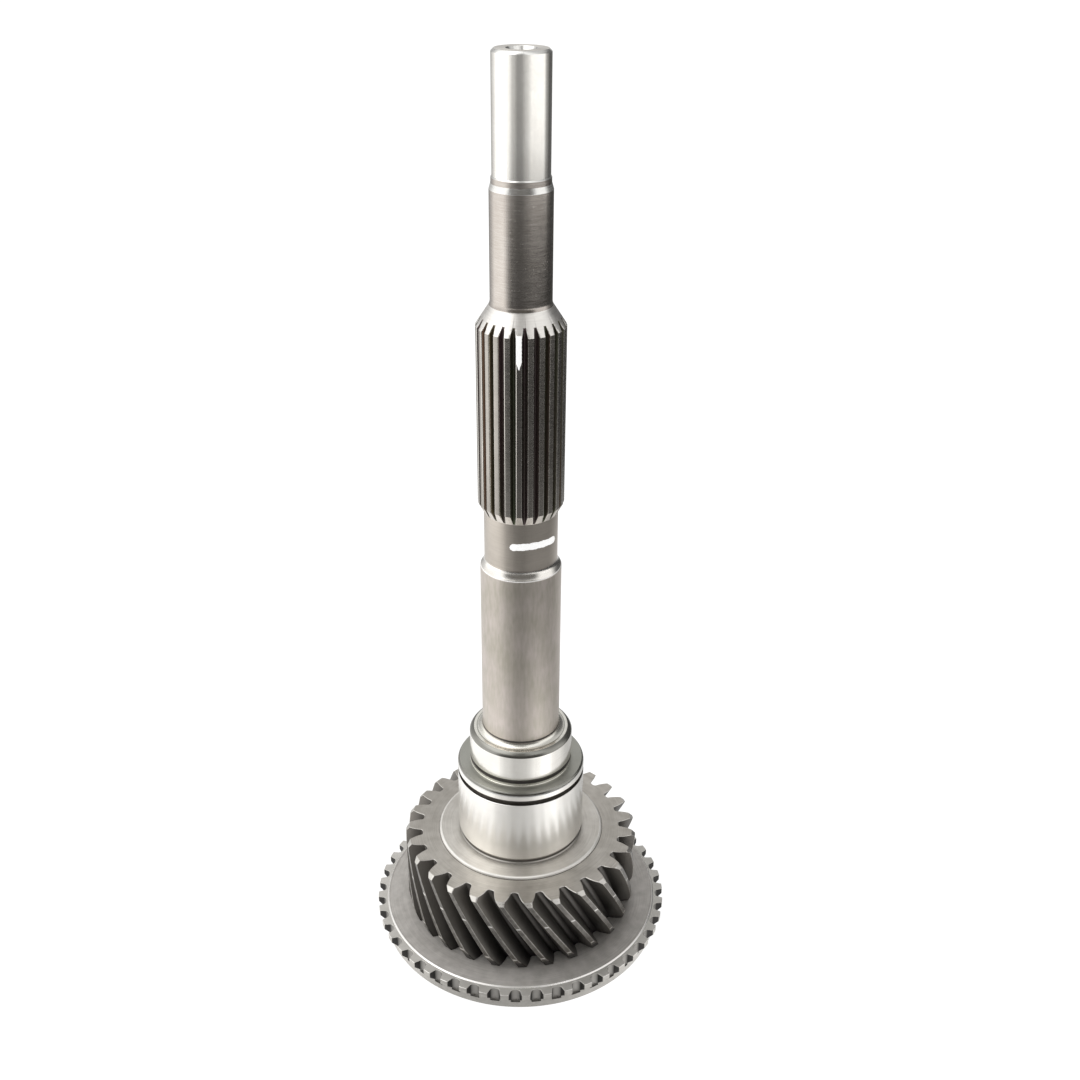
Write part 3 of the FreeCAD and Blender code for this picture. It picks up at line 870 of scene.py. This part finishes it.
def make_ring(materials):
    skin = Skin(["ring", "band", "dog_gap", "dog_foot", "dog_land", "dog_top", "rim", "bright",
                 "turned", "hub"])
    start = skin.add(DOGS.circle(HUB, RING_TOP))
    low = stack(skin, start, [
        (HUB, HUB_END + HUB_CHAMFER, "hub"),
        (HUB + HUB_CHAMFER, HUB_END, "bright"),
        (RIM_INNER - HUB_END, HUB_END, "turned"),
        (RIM_INNER, 0.0, "turned"),
        (BAND_FOOT - 0.3, 0.0, "turned"),
        (BAND_FOOT, 0.3, "bright"),
        (BAND_FOOT + 0.2, DOG_FOOT - 0.15, "band"),
    ], DOGS.circle, "hub")

    # feet of the gaps, sunk a little into the band
    foot = skin.add(DOGS.circle(BAND, DOG_FOOT))
    skin.join(low, foot, "band")
    loop = skin.add(DOGS.section(BAND + BAND_CLEAR, DOG_FOOT))
    skin.join(foot, loop, "dog_gap")

    # the teeth: their feet slope outwards at 45 degrees, their tops stand upright
    dog_top = RING_TOP - RING_STEP
    levels = [
        (BAND + BAND_CLEAR, BAND_TOP, "band"),
        (BAND + 0.6, BAND_TOP + 0.6, "dog_foot"),
        (BAND + 1.2, BAND_TOP + 1.2, "dog_foot"),
        (DOG_TIP, DOG_LAND_LOW, "dog_foot"),
        (DOG_TIP, DOG_LAND_MIDDLE, "dog_land"),
        (DOG_TIP, dog_top - DOG_EDGE, "dog_land"),
    ]
    for tip, height, land in levels:
        following = skin.add(DOGS.section(tip, height))
        skin.join(loop, following, DOGS.columns("dog_gap", land, land))
        loop = following
    last = DOGS.section(DOG_TIP, dog_top - DOG_EDGE)
    rim = skin.add([(x, y, dog_top) for x, y, _ in inset(last, DOG_EDGE)])
    skin.join(loop, rim, DOGS.columns("dog_top", "rim", "rim"))

    # the step and the face, with a fine turned line near its edge
    end = stack(skin, rim, [
        (RING_FACE + RING_STEP + 0.02, dog_top, "dog_top"),
        (RING_FACE + FINE_BREAK, RING_TOP - FINE_BREAK, "rim"),
        (RING_FACE - BREAK, RING_TOP, "rim"),
        (RING_LINE + RING_LINE_WIDTH, RING_TOP, "ring"),
        (RING_LINE, RING_TOP - FINE_BREAK, "ring"),
        (RING_LINE - RING_LINE_WIDTH, RING_TOP, "ring"),
        (RING_FACE_INNER, RING_TOP, "ring"),
    ], DOGS.circle, "dog_top")
    skin.join(end, start, "ring")
    return skin.build("clutch_ring_steel", materials)


# Marks of white paint. Bearings are degrees round the shaft from the camera's side, positive to
# the right.
def at_bearing(radius, bearing, height):
    theta = math.radians(270.0 + bearing)
    return (radius * math.cos(theta), radius * math.sin(theta), height)


def coat(name, lines, rises, materials):
    """A skin of paint through lines of points, each beside the last, or above it where it rises."""
    skin = Skin(["paint"])
    rows = [skin.add(line) for line in lines]
    for here, there in zip(rows, rows[1:]):
        for j in range(len(here) - 1):
            if rises:
                skin.face((here[j], here[j + 1], there[j + 1], there[j]), "paint")
            else:
                skin.face((here[j], there[j], there[j + 1], here[j + 1]), "paint")
    return skin.build(name, materials, sharp_angle=60.0)


def crown(across):
    """Thickness of a coat as a share of its middle's, with -1 and 1 at its edges."""
    return 1 - across ** 4


def neck_mark(materials):
    """A brush stroke round the neck, rounded at its left end."""
    radius = NECK + 0.02
    thickness = 0.05
    start, end = -16.7, 65.8
    middle, bow = 147.55, 0.35
    full_half = 1.1
    columns, rows = 60, 8
    lines = []
    for i in range(columns + 1):
        share = i / columns
        height = middle + bow * math.sin(math.pi * share)
        left_end = min(1.0, (share / 0.06) ** 0.5 + 0.02)
        right_end = min(1.0, ((1 - share) / 0.04) ** 0.5 + 0.02)
        half = full_half * left_end * right_end
        half += 0.06 * math.sin(share * 31.0) + 0.04 * math.sin(share * 77.0 + 1.0)
        half = max(half, 0.02)
        line = []
        for j in range(rows + 1):
            across = -1 + 2 * j / rows
            out = radius + thickness * crown(across)
            line.append(at_bearing(out, start + (end - start) * share, height + half * across))
        lines.append(line)
    return coat("neck_paint_mark", lines, False, materials)


def spline_mark(materials):
    """A dab on one spline tooth, running down to a point."""
    radius = SPLINE_TIP + 0.015
    thickness = 0.06
    middle = -1.8
    full_half = 3.4
    low, high = 203.1, 212.6
    columns, rows = 6, 40
    lines = []
    for i in range(rows + 1):
        height = low + (high - low) * i / rows
        half = full_half * min(1.0, 0.12 + (height - low) / 2.4) + 0.15 * math.sin(i * 1.3)
        drop = max(0.0, height - SPLINE_TOP) * CONE_SLOPE
        line = []
        for j in range(columns + 1):
            across = -1 + 2 * j / columns
            out = radius - drop + thickness * crown(across)
            line.append(at_bearing(out, middle + half * across, height))
        lines.append(line)
    return coat("spline_paint_mark", lines, True, materials)


# Stage
def mix_shaders(tree, factor, first, second):
    """The first shader where the factor, a socket or a number, is 0, and the second where it is 1."""
    node = tree.nodes.new("ShaderNodeMixShader")
    if isinstance(factor, float):
        node.inputs[0].default_value = factor
    else:
        tree.links.new(factor, node.inputs[0])
    tree.links.new(first, node.inputs[1])
    tree.links.new(second, node.inputs[2])
    return node.outputs[0]


def bearing_of(tree, x, y):
    """The bearing as a share of the full turn: 0.5 is the camera's side."""
    angle = math_node(tree, "ARCTAN2", x, math_node(tree, "MULTIPLY", y, -1.0))
    return math_node(tree, "MULTIPLY_ADD", angle, 1.0 / math.tau, 0.5)


def shades_round(tree, bearing, stops):
    """Brightness round the set, as a share of the brightest, from (bearing, brightness) stops."""
    shades = [((place + 180.0) / 360.0, grey(value / BRIGHTEST)) for place, value in stops]
    return ramp(tree, bearing, shades, "EASE")


# what the steel sees reflected, as (bearing, brightness): the paper from near to far, then the room
BRIGHTEST = 3.0
NEAR_SHADES = ((-150, 0.85), (-125, 1.25), (-50, 1.3), (-30, 0.8), (-8, 0.6), (12, 0.68), (34, 1.15),
               (55, 1.5), (85, 0.95), (120, 0.55), (160, 0.55))
MIDDLE_SHADES = ((-150, 0.95), (-70, 0.9), (-40, 0.6), (-12, 0.3), (8, 0.24), (35, 0.3), (70, 0.34),
                 (100, 0.36), (130, 0.6), (165, 0.9))
FAR_SHADES = ((-165, 0.3), (-135, 0.7), (-110, 1.6), (-66, 1.7), (-50, 0.6), (-36, 0.08), (0, 0.05),
              (60, 0.02), (110, 0.02), (150, 0.06), (175, 0.2))
PILOT_SHADES = ((-150, 0.5), (-130, 0.8), (-108, 1.4), (-44, 1.4), (-36, 0.8), (-28, 0.66), (-12, 0.35),
                (0, 0.37), (12, 0.6), (26, 0.9), (38, 1.4), (92, 1.4), (112, 0.35), (130, 0.08),
                (152, 0.12))
HORIZON_SHADES = ((-172, 0.8), (-155, 0.4), (-135, 0.6), (-110, 1.2), (-60, 1.3), (-38, 0.3), (0, 0.06),
                  (40, 0.08), (60, 1.1), (92, 1.1), (118, 0.12), (155, 0.12), (172, 0.74))
SKY_SHADES = ((-180, 0.8), (-135, 1.0), (-100, 2.0), (-60, 2.1), (-25, 1.4), (25, 1.2), (60, 1.1),
              (100, 0.6), (140, 0.6), (175, 0.74))

# metres from the axis between which the paper's nearer shades give way to the next
PAPER_BANDS = ((0.12, 0.18, MIDDLE_SHADES), (0.27, 0.40, FAR_SHADES), (1.17, 1.20, PILOT_SHADES))
PAPER_COLOUR = (0.9, 0.88, 0.86)
PAPER_GLOW = 1.13
PAPER_GLOW_SHARE = 0.85
PAPER_SOFT_LIGHT = 1.1

# heights in the room are the sine of the elevation: 0 at the horizon, 1 straight up
SKY_STARTS = (0.40, 0.70)
# the photographer above and a dark bench below: half widths as shares of the full turn, heights
# between which each fades, and how much of the room each hides
PERSON_SIDES = (0.03, 0.09)
PERSON_FEET = (0.1, 0.3)
PERSON_HEAD = (0.92, 0.99)
PERSON_SHARE = 0.8
BENCH_SIDES = (0.07, 0.15)
BENCH_TOP = (0.56, 0.70)
BENCH_SHARE = 0.95
PERSON_COLOUR = (0.05, 0.048, 0.045)


def floor_material():
    """White paper that keeps a faint shadow. The steel sees it shaded as the room around it shades it."""
    material = bpy.data.materials.new("floor_paper")
    tree = empty_tree(material)
    output = tree.nodes.new("ShaderNodeOutputMaterial")
    where = tree.nodes.new("ShaderNodeNewGeometry")
    split = tree.nodes.new("ShaderNodeSeparateXYZ")
    tree.links.new(where.outputs["Position"], split.inputs[0])
    x, y, _ = split.outputs
    bearing = bearing_of(tree, x, y)
    distance = from_axis(tree, x, y)
    shade = shades_round(tree, bearing, NEAR_SHADES)
    for low, high, shades in PAPER_BANDS:
        shade = blend(tree, smooth(tree, distance, low, high), shade, shades_round(tree, bearing, shades))
    rays = tree.nodes.new("ShaderNodeLightPath")
    mirrored = tree.nodes.new("ShaderNodeEmission")
    tree.links.new(shade, mirrored.inputs["Color"])
    mirrored.inputs["Strength"].default_value = BRIGHTEST
    paper = tree.nodes.new("ShaderNodeBsdfDiffuse")
    paper.inputs["Color"].default_value = (*PAPER_COLOUR, 1.0)
    glow = tree.nodes.new("ShaderNodeEmission")
    glow.inputs["Strength"].default_value = PAPER_GLOW
    seen = mix_shaders(tree, PAPER_GLOW_SHARE, paper.outputs[0], glow.outputs[0])
    soft = tree.nodes.new("ShaderNodeEmission")
    soft.inputs["Strength"].default_value = PAPER_SOFT_LIGHT
    other = mix_shaders(tree, rays.outputs["Is Glossy Ray"], soft.outputs[0], mirrored.outputs[0])
    front = mix_shaders(tree, rays.outputs["Is Camera Ray"], other, seen)
    # from below, the paper is not there
    clear = tree.nodes.new("ShaderNodeBsdfTransparent")
    both_sides = mix_shaders(tree, where.outputs["Backfacing"], front, clear.outputs[0])
    tree.links.new(both_sides, output.inputs["Surface"])
    return material


def make_floor():
    size = 8.0
    mesh = bpy.data.meshes.new("floor")
    mesh.from_pydata([(-size, -size, 0), (size, -size, 0), (size, size, 0), (-size, size, 0)], [],
                     [(0, 1, 2, 3)])
    floor = bpy.data.objects.new("floor", mesh)
    bpy.context.collection.objects.link(floor)
    mesh.materials.append(floor_material())


def make_world():
    """A white studio, dimmer behind the camera where the photographer stands."""
    world = bpy.data.worlds.new("studio")
    bpy.context.scene.world = world
    tree = empty_tree(world)
    output = tree.nodes.new("ShaderNodeOutputWorld")
    coordinates = tree.nodes.new("ShaderNodeTexCoord")
    split = tree.nodes.new("ShaderNodeSeparateXYZ")
    tree.links.new(coordinates.outputs["Generated"], split.inputs[0])
    x, y, z = split.outputs
    bearing = bearing_of(tree, x, y)
    shade = blend(tree, smooth(tree, z, *SKY_STARTS), shades_round(tree, bearing, HORIZON_SHADES),
                  shades_round(tree, bearing, SKY_SHADES))
    aside = math_node(tree, "ABSOLUTE", math_node(tree, "SUBTRACT", bearing, 0.5))
    narrow = inverse(tree, smooth(tree, aside, *PERSON_SIDES))
    tall = math_node(tree, "MULTIPLY", smooth(tree, z, *PERSON_FEET),
                     inverse(tree, smooth(tree, z, *PERSON_HEAD)))
    person = math_node(tree, "MULTIPLY", math_node(tree, "MULTIPLY", narrow, tall), PERSON_SHARE)
    broad = inverse(tree, smooth(tree, aside, *BENCH_SIDES))
    low = inverse(tree, smooth(tree, z, *BENCH_TOP))
    bench = math_node(tree, "MULTIPLY", math_node(tree, "MULTIPLY", broad, low), BENCH_SHARE)
    shade = blend(tree, math_node(tree, "MAXIMUM", person, bench), shade, PERSON_COLOUR)
    light = tree.nodes.new("ShaderNodeBackground")
    tree.links.new(shade, light.inputs["Color"])
    light.inputs["Strength"].default_value = BRIGHTEST
    white = tree.nodes.new("ShaderNodeBackground")
    white.inputs["Color"].default_value = (1.0, 1.0, 1.0, 1.0)
    rays = tree.nodes.new("ShaderNodeLightPath")
    mix = mix_shaders(tree, rays.outputs["Is Camera Ray"], light.outputs[0], white.outputs[0])
    tree.links.new(mix, output.inputs["Surface"])


def make_light():
    """One soft lamp on the left, which the steel doesn't reflect."""
    data = bpy.data.lights.new("left_softbox", "AREA")
    data.shape = "RECTANGLE"
    data.size = data.size_y = 0.6
    data.energy = 8.0
    lamp = bpy.data.objects.new("left_softbox", data)
    bpy.context.collection.objects.link(lamp)
    place = Vector((-0.9, 0.25, 0.75))
    target = Vector((0, 0, 0.03))
    lamp.location = place
    lamp.rotation_euler = (target - place).to_track_quat("-Z", "Y").to_euler()
    lamp.visible_camera = False
    lamp.visible_glossy = False


def make_camera():
    """The photograph's view: a little above the shaft's end, looking down, turned a hair."""
    data = bpy.data.cameras.new("photo_camera")
    data.sensor_width = 36.0
    data.lens = 43.03
    data.clip_start = 0.01
    camera = bpy.data.objects.new("photo_camera", data)
    bpy.context.collection.objects.link(camera)
    tilt = math.radians(27.627)
    roll = math.radians(0.493)
    right = Vector((1, 0, 0))
    up = Vector((0, math.sin(tilt), math.cos(tilt)))
    back = Vector((0, -math.cos(tilt), math.sin(tilt)))
    turned_right = right * math.cos(roll) + up * math.sin(roll)
    turned_up = up * math.cos(roll) - right * math.sin(roll)
    turn = Matrix((turned_right, turned_up, back)).transposed().to_4x4()
    place = Vector((5.729, -344.38, 324.76)) * MM
    camera.matrix_world = Matrix.Translation(place) @ turn
    bpy.context.scene.camera = camera


def make_materials():
    stains = ((0.3, (1.0, 0.78, 0.62)), (0.42, (0.95, 0.95, 0.85)), (0.5, (0.8, 1.0, 0.75)),
              (0.58, (0.95, 0.92, 0.9)), (0.7, (1.0, 0.8, 0.98)))
    return {
        "ground": steel("ground_steel", (0.80, 0.77, 0.72), (0.88, 0.86, 0.81), 0.19, up=4.0,
                        bump_height=0.0005),
        "bright": steel("cut_edge_steel", (0.80, 0.79, 0.76), (0.88, 0.87, 0.84), 0.24, up=5.0),
        "seat": stretch(steel("bearing_seat_steel", (0.86, 0.84, 0.80), (0.93, 0.91, 0.87), 0.25, 0.93,
                              up=4.0, bump_height=0.0002, uneven=0.03), 0.8),
        # painted shade: a little darker than turned steel, in the undercut below the seat and in the snap
        # ring groove
        "groove": steel("groove_steel", (0.34, 0.32, 0.29), (0.40, 0.38, 0.35), 0.3, up=5.0),
        # painted highlight: the broken corners of the gear teeth are much lighter than the lands, for the
        # bright lines along their edges
        "gear_corner": land_steel("gear_corner_highlight_steel", (0.28, 0.265, 0.245), (0.56, 0.54, 0.50), 0.32,
                                  1.0, ()),
        "lip": steel("collar_face_steel", (0.80, 0.78, 0.71), (0.88, 0.86, 0.80), 0.26, up=5.0),
        # painted shade: the seat's and the collar's chamfers are dark, for the dark part of the room they
        # reflect
        "chamfer": steel("chamfer_painted_shade_steel", (0.25, 0.245, 0.22), (0.31, 0.305, 0.28), 0.22, up=5.0),
        "seat_face": steel("seat_face_steel", (0.40, 0.40, 0.36), (0.465, 0.465, 0.425), 0.46, across=6.0,
                           up=0.0),
        "satin": steel("satin_steel", (0.50, 0.455, 0.40), (0.58, 0.53, 0.47), 0.33, grain=0.4,
                       bump_height=0.003),
        "stem": steel("stem_steel", (0.43, 0.39, 0.35), (0.52, 0.48, 0.44), 0.23, grain=0.35,
                      bump_height=0.003),
        "shoulder": steel("shoulder_steel", (0.80, 0.77, 0.72), (0.90, 0.87, 0.82), 0.2, grain=0.35,
                          bump_height=0.003),
        "shoulder_edge": steel("shoulder_edge_steel", (0.86, 0.84, 0.81), (0.93, 0.91, 0.89), 0.5, 0.5),
        "boss_edge": steel("boss_edge_steel", (0.74, 0.72, 0.68), (0.88, 0.86, 0.82), 0.5, 0.8),
        "sleeve": steel("sleeve_steel", (0.50, 0.465, 0.395), (0.65, 0.585, 0.54), 0.36, around=14.0,
                        up=0.25, grain=0.3, bump_height=0.003, mottle=9.0),
        "turned": stretch(steel("turned_steel", (0.42, 0.395, 0.355), (0.57, 0.54, 0.495), 0.38,
                                across=4.0, up=4.0, bump_height=0.003, mottle=3.5), 0.6),
        "boss": stretch(steel("boss_steel", (0.60, 0.57, 0.52), (0.76, 0.73, 0.68), 0.42, across=3.0,
                              bump_height=0.003, mottle=4.0), 0.6),
        # partly the oil and phosphate dark of the gaps, partly painted shade: the flanks darken towards
        # the gap floors and down towards the ring
        "gear": gap_steel("gear_flank_steel", GEAR_ROOT, GEAR_TIP, (0.022, 0.02, 0.021),
                          (0.20, 0.185, 0.165), 0.38, 0.75, shade_heights=(RING_TOP, GEAR_TOP)),
        # painted glints on the lands 25.2 and 12.0 mm up, and painted shade on their foot chamfer
        "gear_land": land_steel("gear_land_steel", (0.10, 0.094, 0.086), (0.22, 0.207, 0.19), 0.36, 0.85,
                                (25.2, 12.0)),
        # painted highlight: the gear's top chamfers and edge rounds are much lighter than its teeth
        "gear_edge": steel("gear_edge_highlight_steel", (0.54, 0.52, 0.49), (0.64, 0.62, 0.58), 0.3),
        # the grooves darken towards their floors: painted shade, with real oxide stains in the tints
        "spline": gap_steel("spline_gap_steel", SPLINE_ROOT, SPLINE_TIP, (0.16, 0.145, 0.125),
                            (0.30, 0.27, 0.24), 0.3, 0.95, stains),
        "spline_land": steel("spline_land_steel", (0.32, 0.30, 0.27), (0.40, 0.375, 0.34), 0.26),
        # painted highlight: the broken corners of the spline teeth are lighter than the lands, for bright
        # lines along their edges
        "spline_edge": steel("spline_edge_highlight_steel", (0.62, 0.59, 0.54), (0.70, 0.67, 0.62), 0.24),
        "cone": steel("cone_steel", (0.78, 0.75, 0.71), (0.90, 0.88, 0.84), 0.32, grain=0.5,
                      bump_height=0.006),
        "runout": steel("runout_steel", (0.60, 0.56, 0.51), (0.70, 0.66, 0.61), 0.34, grain=0.5),
        # painted shade: near-black steel for the undercuts, the snap ring groove, the drilled centre and
        # thin lines at junctions
        "dark": steel("painted_shade_steel", (0.10, 0.092, 0.083), (0.15, 0.14, 0.13), 0.4, 0.8),
        "hub": steel("hub_steel", (0.4, 0.385, 0.36), (0.5, 0.485, 0.46), 0.36, across=3.0, up=3.0),
        "ring": steel("ring_face_steel", (0.40, 0.38, 0.355), (0.56, 0.535, 0.505), 0.5, 0.6, across=6.0,
                      up=0.0, grain=0.35, bump_height=0.01, mottle=3.0),
        # painted highlight: the round at the edge of the ring's face and the corners on the dog teeth's
        # tops are much lighter than the face, for the bright line round it
        "rim": steel("ring_edge_highlight_steel", (0.86, 0.84, 0.80), (0.93, 0.91, 0.88), 0.3),
        "band": steel("ring_band_steel", (0.39, 0.375, 0.345), (0.49, 0.47, 0.44), 0.42, 0.6, up=5.0,
                      grain=0.3, bump_height=0.006, mottle=1.5),
        "dog_top": steel("dog_top_steel", (0.50, 0.485, 0.45), (0.60, 0.58, 0.545), 0.42, 0.6),
        # painted shade: the down-facing feet of the dog teeth are darker than their lands
        "dog_foot": steel("dog_foot_steel", (0.22, 0.21, 0.195), (0.28, 0.27, 0.25), 0.9, 0.0),
        "dog_land": steel("dog_land_steel", (0.41, 0.39, 0.36), (0.53, 0.515, 0.48), 0.42, 0.7, grain=0.3,
                          bump_height=0.008, mottle=1.2),
        # painted shade: the walls of the gaps between the dog teeth are near black, their arched floors
        # lighter
        "dog_gap": gap_steel("dog_gap_steel", DOG_ROOT, DOG_ROOT + 0.8, (0.38, 0.365, 0.34),
                             (0.03, 0.028, 0.026), 0.45, 0.6),
        "paint": paint("marking_paint"),
    }


materials = make_materials()
shaft = make_shaft(materials)
ring = make_ring(materials)
marks = [neck_mark(materials), spline_mark(materials)]
for piece in [shaft, ring] + marks:
    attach(piece, "root")
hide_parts("input_shaft")
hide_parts("clutch_ring")

make_floor()
make_world()
make_light()
make_camera()
bpy.context.scene.view_settings.view_transform = "Standard"
